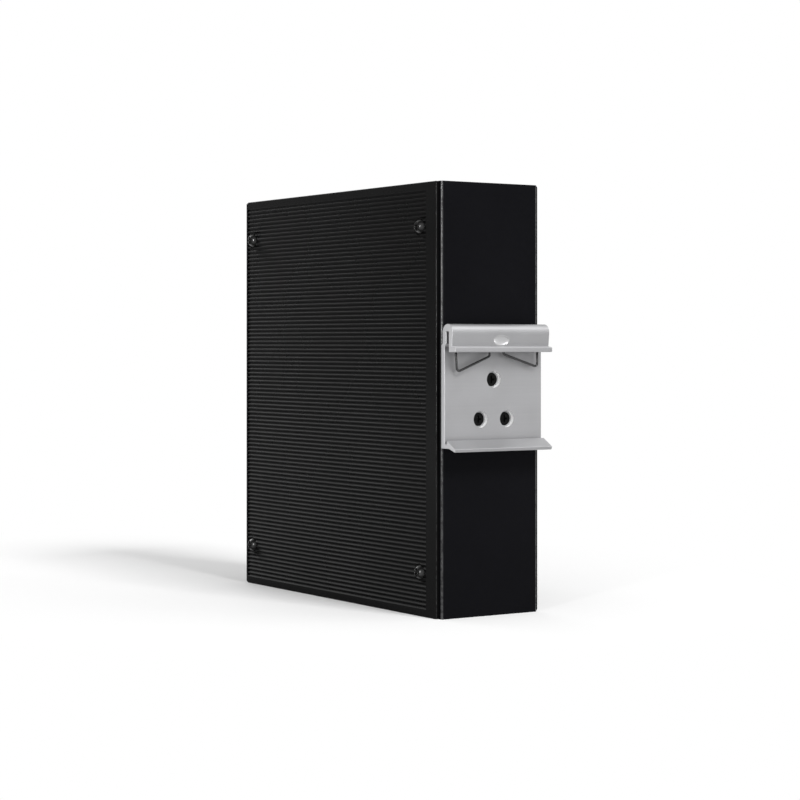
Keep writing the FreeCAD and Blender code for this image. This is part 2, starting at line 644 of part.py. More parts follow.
def make_din_clip():
    """An aluminium extrusion: plate, hook with slot and lip above, grooved foot below."""
    body = new_body("din_clip")
    place(body, y=REAR, z="clip_bottom")
    section = outline(body, "clip_section", "YZ", [[
        ("0", "0"),
        ("foot_flat", "0"),
        ("foot_reach", "-foot_drop"),
        ("foot_reach + edge_round", "0"),
        ("clip_plate + rail_groove", "foot_crest"),
        ("clip_plate + rail_groove", "rail_groove_floor"),
        ("clip_plate", "rail_groove_floor"),
        ("clip_plate", "clip_plate_height - edge_round"),
        ("hook_inner", "clip_plate_height + edge_round"),
        ("hook_inner", "hook_slot_top"),
        ("hook_inner + hook_slot", "hook_slot_top"),
        ("hook_inner + hook_slot", "lip_bottom"),
        (HOOK_FACE + " + lip_reach", "lip_bottom"),
        (HOOK_FACE + " + lip_reach", "lip_bottom + lip_height"),
        (HOOK_FACE, "lip_bottom + lip_height + lip_slope"),
        (HOOK_FACE + " + hook_bulge", "hook_top - hook_round - edge_round"),
        (HOOK_FACE + " + hook_bulge", "hook_top"),
        ("hook_offset", "hook_top"),
        ("hook_offset", "clip_plate_height + edge_round"),
        ("0", "clip_plate_height"),
    ]])
    pad(body, section, "housing_width - 2 * clip_inset", middle=True)
    fillet(body, lambda x, y, z: near(z, "hook_top"), "hook_round", along="x")
    lip_tip = HOOK_FACE + " + lip_reach"
    above_foot = value("clip_plate_height / 2")
    fillet(body, lambda x, y, z: near(y, lip_tip) and z > above_foot, "edge_round", along="x")
    foot_tip = "foot_reach + edge_round"
    fillet(body, lambda x, y, z: near(y, foot_tip) and near(z, "0"), "edge_round / 2", along="x")

    cut_end = "housing_width / 2 - clip_inset"
    ends = edges_where(body, lambda x, y, z: near(abs(x), cut_end))
    dress(body, "Chamfer", ends, "cut_chamfer", "Size")

    drill = circles(body, "clip_holes", "XZ", CLIP_SCREWS, ["clip_drill"], at="clip_plate")
    pocket(body, drill, "2 * clip_plate", way=-1)
    bores = circles(body, "clip_bores", "XZ", CLIP_SCREWS, ["clip_bore"], at="clip_plate")
    pocket(body, bores, "clip_bore_depth", way=-1)
    rims = circle_edges_where(body, "clip_drill / 2",
                              lambda x, y, z: near(y, "clip_plate - clip_bore_depth"))
    dress(body, "Chamfer", rims, "(clip_head - clip_drill) / 2", "Size")

    dimple(body, "Additive", "clip_stake_bump", ("0", "hook_inner + hook_slot", "stake_level"),
           ("stake_boss / 2", "(hook_slot - wire) / 2", "stake_height / 4"))
    dimple(body, "Subtractive", "clip_stake", ("0", HOOK_FACE + " + hook_bulge / 2", "stake_level"),
           ("stake_width / 2", "stake_depth", "stake_height / 2"))
    return body


def make_clip_spring():
    """One wire: two upright legs, two slanting runs and a staked middle, in the hook's slot."""
    body = new_body("clip_spring")
    place(body, y="%s + hook_inner + hook_slot / 2" % REAR, z="clip_bottom")
    path = new_sketch(body, "spring_path", "XZ", "0")
    corners = [
        ("-spring_leg", "spring_top"),
        ("-spring_leg", "spring_low"),
        ("-spring_inner", "spring_knee"),
        ("-spring_inner", "spring_bar"),
        ("spring_inner", "spring_bar"),
        ("spring_inner", "spring_knee"),
        ("spring_leg", "spring_low"),
        ("spring_leg", "spring_top"),
    ]
    first = add_loop(path, corners, closed=False)
    doc.recompute()
    for index in range(len(corners) - 2):
        path.fillet(first + index, 2, value("spring_bend"), True, True)
        arc = path.GeometryCount - 1
        while not isinstance(path.Geometry[arc], Part.ArcOfCircle):
            arc -= 1
        number = path.addConstraint(Sketcher.Constraint("Radius", arc, value("spring_bend")))
        path.setExpression("Constraints[%d]" % number, formula("spring_bend"))
    section = circles(body, "spring_section", "XY", [("-spring_leg", "0")], ["wire"], at="spring_top")
    doc.recompute()
    pipe = body.newObject("PartDesign::AdditivePipe", "spring_wire")
    pipe.Profile = section
    pipe.Spine = (path, [])
    finish(body, pipe)
    return body


def make_clip_screws():
    """Three flat head screws sunk in the clip, and the press nuts behind the rear wall."""
    screw = new_body("clip_screw_pattern", export=False)
    head = "clip_head / 2 - screw_gap"
    turn = outline(screw, "clip_screw_profile", "XZ", [[
        ("0", "-clip_screw_length"),
        (SCREW_RADIUS, "-clip_screw_length"),
        (SCREW_RADIUS, "-(%s - %s)" % (head, SCREW_RADIUS)),
        (head, "0"),
        ("0", "0"),
    ]])
    revolve(screw, turn)
    cut_recess(screw, "clip_screw", "clip_head", "0")
    seat = "%s + clip_plate - clip_bore_depth" % REAR
    group("clip_screws", screw, [(x, seat, "clip_bottom + " + z, TO_REAR) for x, z in CLIP_SCREWS])

    nut = new_body("clip_nut_pattern", export=False)
    ring = circles(nut, "clip_nut_ring", "XY", [("0", "0")], ["nut_width", THREAD_HOLE])
    pad(nut, ring, "nut_height", way=-1)
    wall = "%s - sheet" % REAR
    group("clip_nuts", nut, [(x, wall, "clip_bottom + " + z, TO_REAR) for x, z in CLIP_SCREWS])


# --------------------------------------------------------------------------
# Board and what stands on it
# --------------------------------------------------------------------------


def make_main_board():
    """The circuit board, upright beside the left cover."""
    body = new_body("main_board")
    place(body, x=BOARD_LEFT)
    plate = outline(body, "board_plate", "YZ", [
        rectangle("%s + board_front" % FRONT, "%s - board_rear" % REAR,
                  "board_end", "housing_height - board_end"),
    ])
    pad(body, plate, "board")
    holes = circles(body, "board_holes", "YZ", BOARD_SCREWS, [PASSING_HOLE])
    pocket(body, holes, "3 * board", middle=True)
    return body


def make_board_fixings(pan_screw):
    """Four hexagon standoffs between the flanges and the board, and their screws."""
    post = new_body("standoff_pattern", export=False)
    hexagon = new_sketch(post, "standoff_hexagon", "XY", "0")
    corner = "standoff_width / 2 / cos(180 / %d)" % HEXAGON
    turns = ["360 * %d / %d" % (side, HEXAGON) for side in range(HEXAGON)]
    add_loop(hexagon, [("%s * cos(%s)" % (corner, turn), "%s * sin(%s)" % (corner, turn))
                       for turn in turns])
    pad(post, hexagon, "standoff")
    bore = circles(post, "standoff_bore", "XY", [("0", "0")], [THREAD_HOLE], at="standoff")
    pocket(post, bore, "standoff", way=-1)
    foot = "-%s + sheet" % CHASSIS_HALF
    group("board_standoffs", post, [(foot, y, z, TO_RIGHT) for y, z in BOARD_SCREWS])
    group("board_screws", pan_screw, [(BOARD_FACE, y, z, TO_RIGHT) for y, z in BOARD_SCREWS])


PORT_FLOOR = "(jack_height / 2 - port_middle / 2)"
PORT_ROOF = "(%s - port_height)" % PORT_FLOOR
PORT_LOW = "(jack_end + (port_pitch - port_width) / 2)"
PORT_MIDDLE = "(jack_end + port_pitch / 2)"


def opposite(points):
    """The same loop in the other column of sockets."""
    return [("jack_height - (%s)" % u, v) for u, v in points]


def cut_ports(body, name, points, at, depth):
    """Cut one loop for every socket of both columns."""
    for column, loop in (("near", points), ("far", opposite(points))):
        sketch = outline(body, "%s_%s" % (name, column), "XZ", [loop], at=at)
        first = pocket(body, sketch, depth)
        row_of(body, first, sketch, "V_Axis", "port_pitch", "port_count")


def make_jack_housing():
    """Moulded block with two columns of sockets, their latch channels outward."""
    body = new_body("jack_housing")
    place(body, x=BOARD_FACE, y=JACK_FRONT, z="jack_bottom")
    block = outline(body, "jack_block", "XZ", [
        rectangle("0", "jack_height - jack_shell", "jack_shell", JACK_SPAN + " - jack_shell"),
    ], at="jack_shell")
    pad(body, block, "jack_length - 2 * jack_shell")
    port = [
        (PORT_FLOOR, PORT_LOW),
        (PORT_FLOOR, PORT_LOW + " + port_width"),
        (PORT_ROOF, PORT_LOW + " + port_width"),
        (PORT_ROOF, PORT_MIDDLE + " + latch_width / 2"),
        (PORT_ROOF + " - latch_depth", PORT_MIDDLE + " + latch_width / 2"),
        (PORT_ROOF + " - latch_depth", PORT_MIDDLE + " - latch_width / 2"),
        (PORT_ROOF, PORT_MIDDLE + " - latch_width / 2"),
        (PORT_ROOF, PORT_LOW),
    ]
    cut_ports(body, "jack_port", port, "jack_shell", "port_depth")
    return body


def make_jack_shield():
    """Stamped shield over the socket block, open to the board, with a lattice in front."""
    body = new_body("jack_shield")
    place(body, x=BOARD_FACE, y=JACK_FRONT, z="jack_bottom")
    block = outline(body, "shield_block", "XZ", [rectangle("0", "jack_height", "0", JACK_SPAN)])
    pad(body, block, "jack_length")
    inside = outline(body, "shield_inside", "YZ", [
        rectangle("jack_shell", "jack_length - jack_shell", "jack_shell", JACK_SPAN + " - jack_shell"),
    ])
    pocket(body, inside, "jack_height - jack_shell")
    window = rectangle(
        PORT_ROOF + " - latch_depth - panel_gap",
        PORT_FLOOR + " + panel_gap",
        PORT_LOW + " - panel_gap",
        PORT_LOW + " + port_width + panel_gap",
    )
    cut_ports(body, "shield_window", window, "0", "jack_shell")
    return body


def make_jack_contacts():
    """Eight slanting spring contacts in every socket, rooted in the middle wall."""
    comb = new_body("contact_comb", export=False)
    strip = outline(comb, "contact_strip", "XY", [[
        ("0", "contact_root"),
        ("0", "contact_root + 2 * contact_sheet"),
        ("-contact_drop", "contact_root + contact_run"),
        ("-contact_drop - contact_sheet", "contact_root + contact_run - contact_sheet"),
    ]], at="-(contact_count - 1) / 2 * contact_pitch - contact_width / 2")
    first = pad(comb, strip, "contact_width")
    row_of(comb, first, strip, "N_Axis", "contact_pitch", "contact_count")
    middle = "%s + jack_height / 2" % BOARD_FACE
    spots = []
    for side, rotation in (("-1", UPRIGHT), ("1", UPSIDE_DOWN)):
        for level in range(int(value("port_count"))):
            z = "jack_bottom + %s + %d * port_pitch" % (PORT_MIDDLE, level)
            spots.append(("%s + %s * port_middle / 2" % (middle, side), JACK_FRONT, z, rotation))
    group("jack_contacts", comb, spots)


PIN_LEVEL = "(inlet_wall + pole_pitch / 2)"


def make_power_inlet():
    """Header for the pluggable power terminal: a keyed shroud and its square pins."""
    body = new_body("power_inlet")
    place(body, x=BOARD_FACE, y=JACK_FRONT, z=INLET_BOTTOM)
    block = outline(body, "inlet_block", "XZ", [rectangle("0", "inlet_height", "0", INLET_SPAN)])
    pad(body, block, "inlet_length")
    hollow = outline(body, "inlet_hollow", "XZ", [
        rectangle("inlet_wall", "inlet_height - inlet_wall", "inlet_wall", INLET_SPAN + " - inlet_wall"),
    ])
    pocket(body, hollow, "inlet_depth")
    half = "(pin_size / 2 + pin_gap)"
    pin_hole = outline(body, "inlet_pin_hole", "XZ", [
        rectangle("inlet_height / 2 - " + half, "inlet_height / 2 + " + half,
                  "%s - %s" % (PIN_LEVEL, half), "%s + %s" % (PIN_LEVEL, half)),
    ])
    first = pocket(body, pin_hole, "inlet_length + sheet")
    row_of(body, first, pin_hole, "V_Axis", "pole_pitch", "pole_count")
    key = outline(body, "inlet_key", "XZ", [
        rectangle("inlet_height - 2 * inlet_wall", "inlet_height + inlet_wall",
                  PIN_LEVEL + " - key_width / 2", PIN_LEVEL + " + key_width / 2"),
    ])
    first = pocket(body, key, "key_depth")
    row_of(body, first, key, "V_Axis", "pole_pitch", "pole_count")

    pins = new_body("power_pins")
    place(pins, x=BOARD_FACE, y=JACK_FRONT, z=INLET_BOTTOM)
    back = "inlet_length + 2 * pin_size"
    low = "inlet_height / 2 - pin_size / 2"
    pin = outline(pins, "pin_side", "XY", [[
        ("0", "%s - pin_size" % back),
        ("0", back),
        (low + " + pin_size", back),
        (low + " + pin_size", "inlet_depth - pin_reach"),
        (low, "inlet_depth - pin_reach"),
        (low, "%s - pin_size" % back),
    ]], at=PIN_LEVEL + " - pin_size / 2")
    first = pad(pins, pin, "pin_size")
    row_of(pins, first, pin, "N_Axis", "pole_pitch", "pole_count")


def make_status_lights():
    """Three round lights in a holder on the board, through the front panel."""
    lamp = new_body("light_pattern", export=False)
    turn = outline(lamp, "light_profile", "XZ", [
        rectangle("0", "light / 2 - screw_gap", "light_proud - light_length", "light_proud"),
    ])
    revolve(lamp, turn)
    rim = circle_edges_where(lamp, "light / 2 - screw_gap", lambda x, y, z: near(z, "light_proud"))
    dress(lamp, "Fillet", rim, "light_round", "Radius")
    x = "%s + light_over_board" % BOARD_FACE
    group("status_lights", lamp, [
        (x, FRONT, "%s + %d * light_pitch" % (LIGHT_BOTTOM, level), TO_FRONT)
        for level in range(int(value("light_count")))
    ])

    body = new_body("light_holder")
    place(body, x=BOARD_FACE, y=FRONT, z=LIGHT_BOTTOM)
    block = outline(body, "holder_block", "XZ", [
        rectangle("0", "holder_height", "-holder_end", "(light_count - 1) * light_pitch + holder_end"),
    ], at="holder_front")
    pad(body, block, "holder_length")
    bore = circles(body, "holder_bore", "XZ", [("light_over_board", "0")],
                   ["light + 2 * screw_gap"], at="holder_front")
    first = pocket(body, bore, "2 * holder_length")
    row_of(body, first, bore, "V_Axis", "light_pitch", "light_count")


def make_switch_chip():
    """The switch chip and the finned heat sink on it, behind the line transformers."""
    chip = new_body("switch_chip")
    middle = BEHIND_JACKS + " + transformer_width + sink_gap + sink_size / 2"
    place(chip, x=BOARD_FACE, y=middle, z="chip_level")
    square = outline(chip, "chip_square", "YZ", [
        rectangle("-chip_size / 2", "chip_size / 2", "-chip_size / 2", "chip_size / 2"),
    ])
    pad(chip, square, "chip_height")

    sink = new_body("heat_sink")
    place(sink, x="%s + chip_height" % BOARD_FACE, y=middle, z="chip_level")
    half = "sink_size / 2"
    base = outline(sink, "sink_base_plate", "YZ", [rectangle("-" + half, half, "-" + half, half)])
    pad(sink, base, "sink_base")
    fin = outline(sink, "sink_fin", "YZ", [
        rectangle("-" + half, "-%s + sink_fin" % half, "-" + half, half),
    ], at="sink_base / 2")
    first = pad(sink, fin, "sink_base / 2 + sink_fin_height")
    row_of(sink, first, fin, "H_Axis", "(sink_size - sink_fin) / (sink_fin_count - 1)", "sink_fin_count")


def make_board_parts():
    """Line transformers behind the sockets, and the parts of the power supply."""
    transformer = new_body("transformer_pattern", export=False)
    block = outline(transformer, "transformer_block", "YZ", [
        rectangle("0", "transformer_width", "0", "transformer_length"),
    ])
    pad(transformer, block, "transformer_height")
    fillet(transformer, lambda x, y, z: near(x, "transformer_height"), "edge_round")
    group("line_transformers", transformer, [
        (BOARD_FACE, BEHIND_JACKS, "jack_bottom + jack_end + %d * port_pitch" % level, UPRIGHT)
        for level in range(int(value("port_count")))
    ])

    can = new_body("capacitor_pattern", export=False)
    disc = circles(can, "capacitor_disc", "XY", [("0", "0")], ["capacitor"])
    pad(can, disc, "capacitor_height")
    rim = circle_edges_where(can, "capacitor / 2", lambda x, y, z: near(z, "capacitor_height"))
    dress(can, "Fillet", rim, "edge_round", "Radius")
    behind_inlet = "%s + inlet_length + 2 * pin_size + part_gap + capacitor / 2" % JACK_FRONT
    level = INLET_BOTTOM + " + capacitor"
    group("power_capacitors", can, [
        (BOARD_FACE, behind_inlet + " + %d * capacitor_pitch" % number, level, TO_RIGHT)
        for number in range(int(value("capacitor_count")))
    ])

    coil = new_body("power_inductor")
    half = "inductor_size / 2"
    last_can = behind_inlet + " + (capacitor_count - 1) * capacitor_pitch"
    place(coil, BOARD_FACE, "%s + capacitor / 2 + part_gap + %s" % (last_can, half), level)
    square = outline(coil, "inductor_square", "YZ", [rectangle("-" + half, half, "-" + half, half)])
    pad(coil, square, "inductor_height")
    fillet(coil, lambda x, y, z: near(x, "inductor_height"), "2 * edge_round")


def make_earth_fixing():
    """Earth screw on the front panel with its washer and press nut."""
    radius = "earth_screw / 2 - screw_gap"
    pattern = make_pan_screw("earth_screw_pattern", radius, "earth_length",
                             "earth_head", "earth_head_height")
    group("earth_screw", pattern, [("earth_side", "%s - washer" % FRONT, "earth_level", TO_FRONT)])
    ring = new_body("earth_washer")
    place(ring, "earth_side", FRONT, "earth_level")
    disc = circles(ring, "washer_ring", "XZ", [("0", "0")],
                   ["washer_width", "earth_screw + 2 * screw_hole_gap"])
    pad(ring, disc, "washer", way=-1)
    nut = new_body("earth_nut")
    place(nut, "earth_side", "%s + sheet" % FRONT, "earth_level")
    disc = circles(nut, "earth_nut_ring", "XZ", [("0", "0")], ["earth_nut_width", "earth_screw"])
    pad(nut, disc, "earth_nut_height")


# --------------------------------------------------------------------------
# The whole switch
# --------------------------------------------------------------------------

make_chassis()
make_front_panel()
right_cover = make_side_cover("side_cover_right")
place(right_cover, x=CHASSIS_HALF)
# The left cover is the same part turned over, so that its fins face -X
left_cover = make_side_cover("side_cover_left")
place(left_cover, x="-" + CHASSIS_HALF, z="housing_height", rotation=UPSIDE_DOWN)

small_screw = make_pan_screw("pan_screw_pattern", SCREW_RADIUS, "screw_length",
                             "screw_head", "screw_head_height")
make_cover_screws(small_screw)
make_din_clip()
make_clip_spring()
make_clip_screws()
make_main_board()
make_board_fixings(small_screw)
make_jack_housing()
make_jack_shield()
make_jack_contacts()
make_power_inlet()
make_status_lights()
make_switch_chip()
make_board_parts()
make_earth_fixing()
doc.recompute()

# --------------------------------------------------------------------------
# Checks, then one STEP file for each sub-part
# --------------------------------------------------------------------------

for item in doc.Objects:
    if "Invalid" in item.State or "Error" in item.State:
        raise RuntimeError("%s failed to build: %s" % (item.Label, item.State))
    if item.TypeId == "PartDesign::Pocket":
        before = item.BaseFeature.Shape.Volume
        if item.Shape.Volume > before - 1e-6:
            raise RuntimeError("%s cuts nothing" % item.Label)

for item in EXPORTS:
    shape = item.Shape
    if shape.isNull() or not shape.isValid() or not shape.Solids:
        raise RuntimeError("%s has no valid solid" % item.Label)

os.makedirs("parts", exist_ok=True)
for item in EXPORTS:
    item.Shape.exportStep("parts/%s.step" % item.Label)
    print("%-20s %2d solid(s) %10.1f mm3" % (item.Label, len(item.Shape.Solids), item.Shape.Volume))
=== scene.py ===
# %% [markdown]
# # A DIN-rail ethernet switch
# The switch is a slim box of black sheet metal that hangs on a cabinet's rail by the aluminium clip
# on its back. Its solids come from CAD and are loaded here as a fixed frame, in metres: this file
# gives them their finishes, replaces the small turned and bent pieces with finer surfaces, and sets
# the light and the camera. Reading the frame first means that nothing has to be fitted by hand.

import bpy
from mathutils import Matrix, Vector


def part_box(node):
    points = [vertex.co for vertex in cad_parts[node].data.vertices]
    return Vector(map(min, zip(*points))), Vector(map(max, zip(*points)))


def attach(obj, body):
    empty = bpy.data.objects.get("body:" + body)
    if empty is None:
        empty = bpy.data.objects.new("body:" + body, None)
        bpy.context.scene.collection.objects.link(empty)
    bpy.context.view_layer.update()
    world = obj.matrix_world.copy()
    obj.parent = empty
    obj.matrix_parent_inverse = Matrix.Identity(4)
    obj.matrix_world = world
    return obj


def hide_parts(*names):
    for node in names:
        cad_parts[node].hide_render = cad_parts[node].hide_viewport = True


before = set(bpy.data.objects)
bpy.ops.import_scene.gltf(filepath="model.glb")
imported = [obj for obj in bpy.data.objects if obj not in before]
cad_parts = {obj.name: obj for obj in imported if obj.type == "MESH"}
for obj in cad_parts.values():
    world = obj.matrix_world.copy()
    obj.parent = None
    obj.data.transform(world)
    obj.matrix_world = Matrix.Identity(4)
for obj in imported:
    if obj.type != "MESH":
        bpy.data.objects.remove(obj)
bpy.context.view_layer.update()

# %% Modules and the unit
import math

import bpy
import numpy as np

MM = 0.001
ROOT = "root"
print("everything rides on the body", ROOT)

# %% [markdown]
# ## Where repeated parts are
# A CAD node may hold several equal solids, such as the screws of one kind. Their places aren't
# typed in again: triangles that share a corner belong together, so passing the lowest label from
# corner to corner until nothing changes gives each solid its own label, and so its own box.

# %% Where the screws are
SAME_SPOT = 0.001 * MM


def loose_solids(node):
    """The boxes of a node's separate solids, found by joining triangles that share a corner."""
    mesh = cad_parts[node].data
    spots = np.empty(3 * len(mesh.vertices), np.float32)
    mesh.vertices.foreach_get("co", spots)
    spots = spots.reshape(-1, 3).astype(float)
    corners = np.empty(len(mesh.loops), np.int32)
    mesh.loops.foreach_get("vertex_index", corners)
    steps = np.round(spots / SAME_SPOT).astype(np.int64)
    keys, same = np.unique(steps, axis=0, return_inverse=True)
    same = same.ravel()
    triangles = same[corners].reshape(-1, 3)
    label = np.arange(len(keys))
    while True:
        before = label.copy()
        np.minimum.at(label, triangles, label[triangles].min(axis=1, keepdims=True))
        if (label == before).all():
            break
    groups = [spots[label[same] == name] for name in np.unique(label)]
    return [(group.min(axis=0), group.max(axis=0)) for group in groups]


for name in ("cover_screws_right", "cover_screws_left", "clip_screws", "earth_screw"):
    print(name, len(loose_solids(name)), "screws")

# %% [markdown]
# ## Shader maths as Python
# A procedural finish is mostly arithmetic on noise. Placing Math nodes by hand hides the formula,
# so a small class wraps a socket and turns each Python operator into the node that does it. Every
# other node comes from one method, which sets the node's own settings first and its sockets after.

# %% The socket class


class Value:
    """One output socket; arithmetic on it adds Math nodes to the tree that owns it."""

    def __init__(self, owner, socket):
        self.owner = owner
        self.socket = socket

    def maths(self, operation, *terms):
        """A Math node with that operation on those terms."""
        return self.owner.node("ShaderNodeMath", {"operation": operation}, dict(enumerate(terms)))

    def __abs__(self):
        return self.maths("ABSOLUTE", self)

    def largest(self, other):
        """The larger one of two values."""
        return self.maths("MAXIMUM", self, other)

    def __add__(self, other):
        return self.maths("ADD", self, other)

    def __sub__(self, other):
        return self.maths("SUBTRACT", self, other)

    def __rsub__(self, other):
        return self.maths("SUBTRACT", other, self)

    def __mul__(self, other):
        return self.maths("MULTIPLY", self, other)

    __radd__ = __add__
    __rmul__ = __mul__


print("a value takes + - * abs() and largest()")

# %% A tree of nodes


class Nodes:
    """One node tree, which a material or the world owns."""

    def __init__(self, tree):
        self.tree = tree

    def node(self, kind, settings=None, inputs=None, output=0):
        """Add a node: its settings, then its inputs, which are numbers, colours or links."""
        made = self.tree.nodes.new(kind)
        for key, setting in (settings or {}).items():
            setattr(made, key, setting)
        for key, given in (inputs or {}).items():
            self.feed(made.inputs[key], given)
        return None if output is None else Value(self, made.outputs[output])

    def feed(self, socket, given):
        """Link a value to a socket, or set the socket to a plain number or colour."""
        if isinstance(given, Value):
            self.tree.links.new(given.socket, socket)
        else:
            socket.default_value = given

    def background_rays(self):
        """One for what the camera, a mirror or clear glass sees straight on, else nought."""
        rays = [self.node("ShaderNodeLightPath", output=name) for name in (
            "Is Camera Ray", "Is Glossy Ray", "Is Transmission Ray")]
        return rays[0].largest(rays[1]).largest(rays[2])

    def either(self, factor, one, other):
        """Mix two shaders: a factor of nought gives the first and one gives the other."""
        return self.node("ShaderNodeMixShader", {}, {0: factor, 1: one, 2: other})


print("kinds of node to add:", sum(kind.startswith("ShaderNode") for kind in dir(bpy.types)))

# %% The finish class
MIX_COLOURS = (6, 7)
MIX_RESULT = 2
MOST_OF_NOISE = (0.3, 0.7)
MIDDLE_OF_NOISE = (0.35, 0.65)


class Finish(Nodes):
    """One material: a Principled shader, its fixed numbers, and nodes for what varies."""

    def __init__(self, name, **constants):
        self.material = bpy.data.materials.new(name)
        self.material.use_nodes = True
        super().__init__(self.material.node_tree)
        self.shader = self.tree.nodes["Principled BSDF"]
        for socket, number in constants.items():
            self.shader.inputs[socket.replace("_", " ")].default_value = number

    def drive(self, socket, value):
        """Let a value that varies over the surface feed one of the shader's sockets."""
        self.feed(self.shader.inputs[socket], value)

    def place(self, stretch=(1, 1, 1)):
        """Object coordinates, stretched along each axis."""
        here = self.node("ShaderNodeTexCoord", output="Object")
        return self.node("ShaderNodeMapping", {}, {"Vector": here, "Scale": stretch})

    def noise(self, scale, detail=2.0, roughness=0.5, at=None):
        """Smooth noise; scale counts its grains in a metre."""
        return self.node("ShaderNodeTexNoise", {}, {
            "Vector": at or self.place(), "Scale": scale, "Detail": detail,
            "Roughness": roughness})

    def between(self, value, span, bottom=0.0, top=1.0):
        """Map a value's span, low and high, onto the numbers from bottom to top."""
        return self.node("ShaderNodeMapRange", {"clamp": True}, {
            "Value": value, "From Min": span[0], "From Max": span[1],
            "To Min": bottom, "To Max": top})

    def blend(self, factor, one, other):
        """Mix two colours: a factor of nought gives the first and one gives the other."""
        return self.node("ShaderNodeMix", {"data_type": "RGBA"}, {
            0: factor, MIX_COLOURS[0]: one, MIX_COLOURS[1]: other}, output=MIX_RESULT)

    def slant(self, *pairs):
        """How far the surface leans between two axes: the largest product of two of the normal's
        parts. That is nought on a flat side and a half in the middle of a square edge's rounding.
        A pair of one axis, such as XX, is one where the surface faces along that axis."""
        normal = self.node("ShaderNodeNewGeometry", output="Normal")
        parts = {axis: abs(self.node("ShaderNodeSeparateXYZ", {}, {0: normal}, output=axis))
                 for axis in "XYZ"}
        steepest = parts[pairs[0][0]] * parts[pairs[0][1]]
        for one, other in pairs[1:]:
            steepest = steepest.largest(parts[one] * parts[other])
        return steepest

    def off_axis(self, spot, counted):
        """Distance from a spot, with each axis counted by its share: 0 leaves that axis out."""
        here = self.node("ShaderNodeTexCoord", output="Object")
        way = self.node("ShaderNodeVectorMath", {"operation": "SUBTRACT"},
                        {0: here, 1: tuple(spot)})
        share = self.node("ShaderNodeVectorMath", {"operation": "MULTIPLY"}, {0: way, 1: counted})
        return self.node("ShaderNodeVectorMath", {"operation": "LENGTH"}, {0: share},
                         output="Value")

    def bump(self, height, strength, distance):
        """Feed a height to the shader's Normal."""
        self.drive("Normal", self.node("ShaderNodeBump", {}, {
            "Height": height, "Strength": strength, "Distance": distance}, output="Normal"))


print("most of a noise lies within", MOST_OF_NOISE, "and its middle within", MIDDLE_OF_NOISE)

# %% Colours, and dressing a node


def grey(level, tint=0.0):
    """A grey as a linear colour; a positive tint leans it towards blue."""
    return (level, level, level * (1 + tint), 1.0)


def dimmed(colour, share):
    """The same colour with only a share of its light."""
    return tuple(share * part for part in colour[:3]) + (1.0,)


def dress(finish, *nodes):
    """Give CAD nodes a finish by setting their objects' material slots."""
    for name in nodes:
        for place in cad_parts[name].material_slots:
            place.material = finish.material
    print(finish.material.name, "on", ", ".join(nodes))


print("a middle grey", grey(0.2), "and half its light", dimmed(grey(0.2), 0.5))

# %% [markdown]
# ## Black powder coat
# The chassis, the front panel and the finned covers are sprayed with black powder, which melts to
# a skin with a fine, soft orange peel. It is a deep, even black that hardly shines, so the base
# colour is only a few thousandths and the reflectivity is low. Hands and tools rub the sheet's
# bends, and there the coat is burnished: a mask from the surface's own slant lays a clear coat over
# the bends, broken by noise, so that they catch the light as a thin broken line.

# %% Dress the sheet metal


def powder_coat(name, colour, roughness, peel_scale, bends, rub):
    """Near-black paint: colour and gloss drift slowly, a peel bumps it, bends are burnished."""
    coat = Finish(name, IOR=1.45, Specular_IOR_Level=0.03, Coat_Roughness=0.15, Coat_IOR=1.8)
    drift = coat.noise(26.0, detail=3.0)
    fleck = coat.noise(900.0)
    tone = coat.between(drift + fleck * 0.5, span=(0.5, 1.0))
    coat.drive("Base Color", coat.blend(tone, dimmed(colour, 0.75), colour))
    coat.drive("Roughness", coat.between(drift, MOST_OF_NOISE, roughness - 0.04, roughness + 0.04))
    worn = coat.between(coat.slant(*bends), span=(0.26, 0.40))
    chips = coat.noise(700.0, detail=3.0, roughness=0.7)
    broken = coat.between(chips, span=(0.38, 0.55), bottom=0.35)
    coat.drive("Coat Weight", worn * broken * rub)
    coat.bump(coat.noise(peel_scale, roughness=0.6), strength=0.3, distance=0.012 * MM)
    return coat


black_sheet = powder_coat("black_powder_coat", grey(0.0046, 0.25), roughness=0.32,
                          peel_scale=1700.0, bends=("XY", "YZ", "XZ"), rub=0.9)
black_fins = powder_coat("black_fin_coat", grey(0.0032, 0.02), roughness=0.27,
                         peel_scale=2400.0, bends=("XY",), rub=0.4)
dress(black_sheet, "chassis", "front_panel")
dress(black_fins, "side_cover_right", "side_cover_left")

# %% [markdown]
# ## Extruded aluminium
# The rail clip is cut from a length of extrusion. The die leaves faint lines that run along it, and
# a matt wash makes the metal an even light grey. Noise that is stretched a hundredfold along X gives
# the die lines, and a cloud noise gives the soft patches of the wash. Where the surface turns, on
# the rounded and deburred edges, the colour is painted lighter and the gloss a little higher: partly
# metal polished by handling, partly a painted highlight. The bores are painted near white, partly
# bare cut metal and partly a painted highlight of their lit walls. The ends that face along X are
# painted lighter, partly bare sawn metal and partly painted light. The punch burnishes its oval
# mark, which is also painted lighter as a painted highlight.

# %% Dress the clip
DIE_STRETCH = (14.0, 1500.0, 1500.0)
BORE_EDGE = (3.0 * MM, 3.1 * MM)
MARK_EDGE = (1.5 * MM, 2.0 * MM)
MARK_SHARES = (0.55, 0, 1)
MARK_DROP = 5.5 * MM


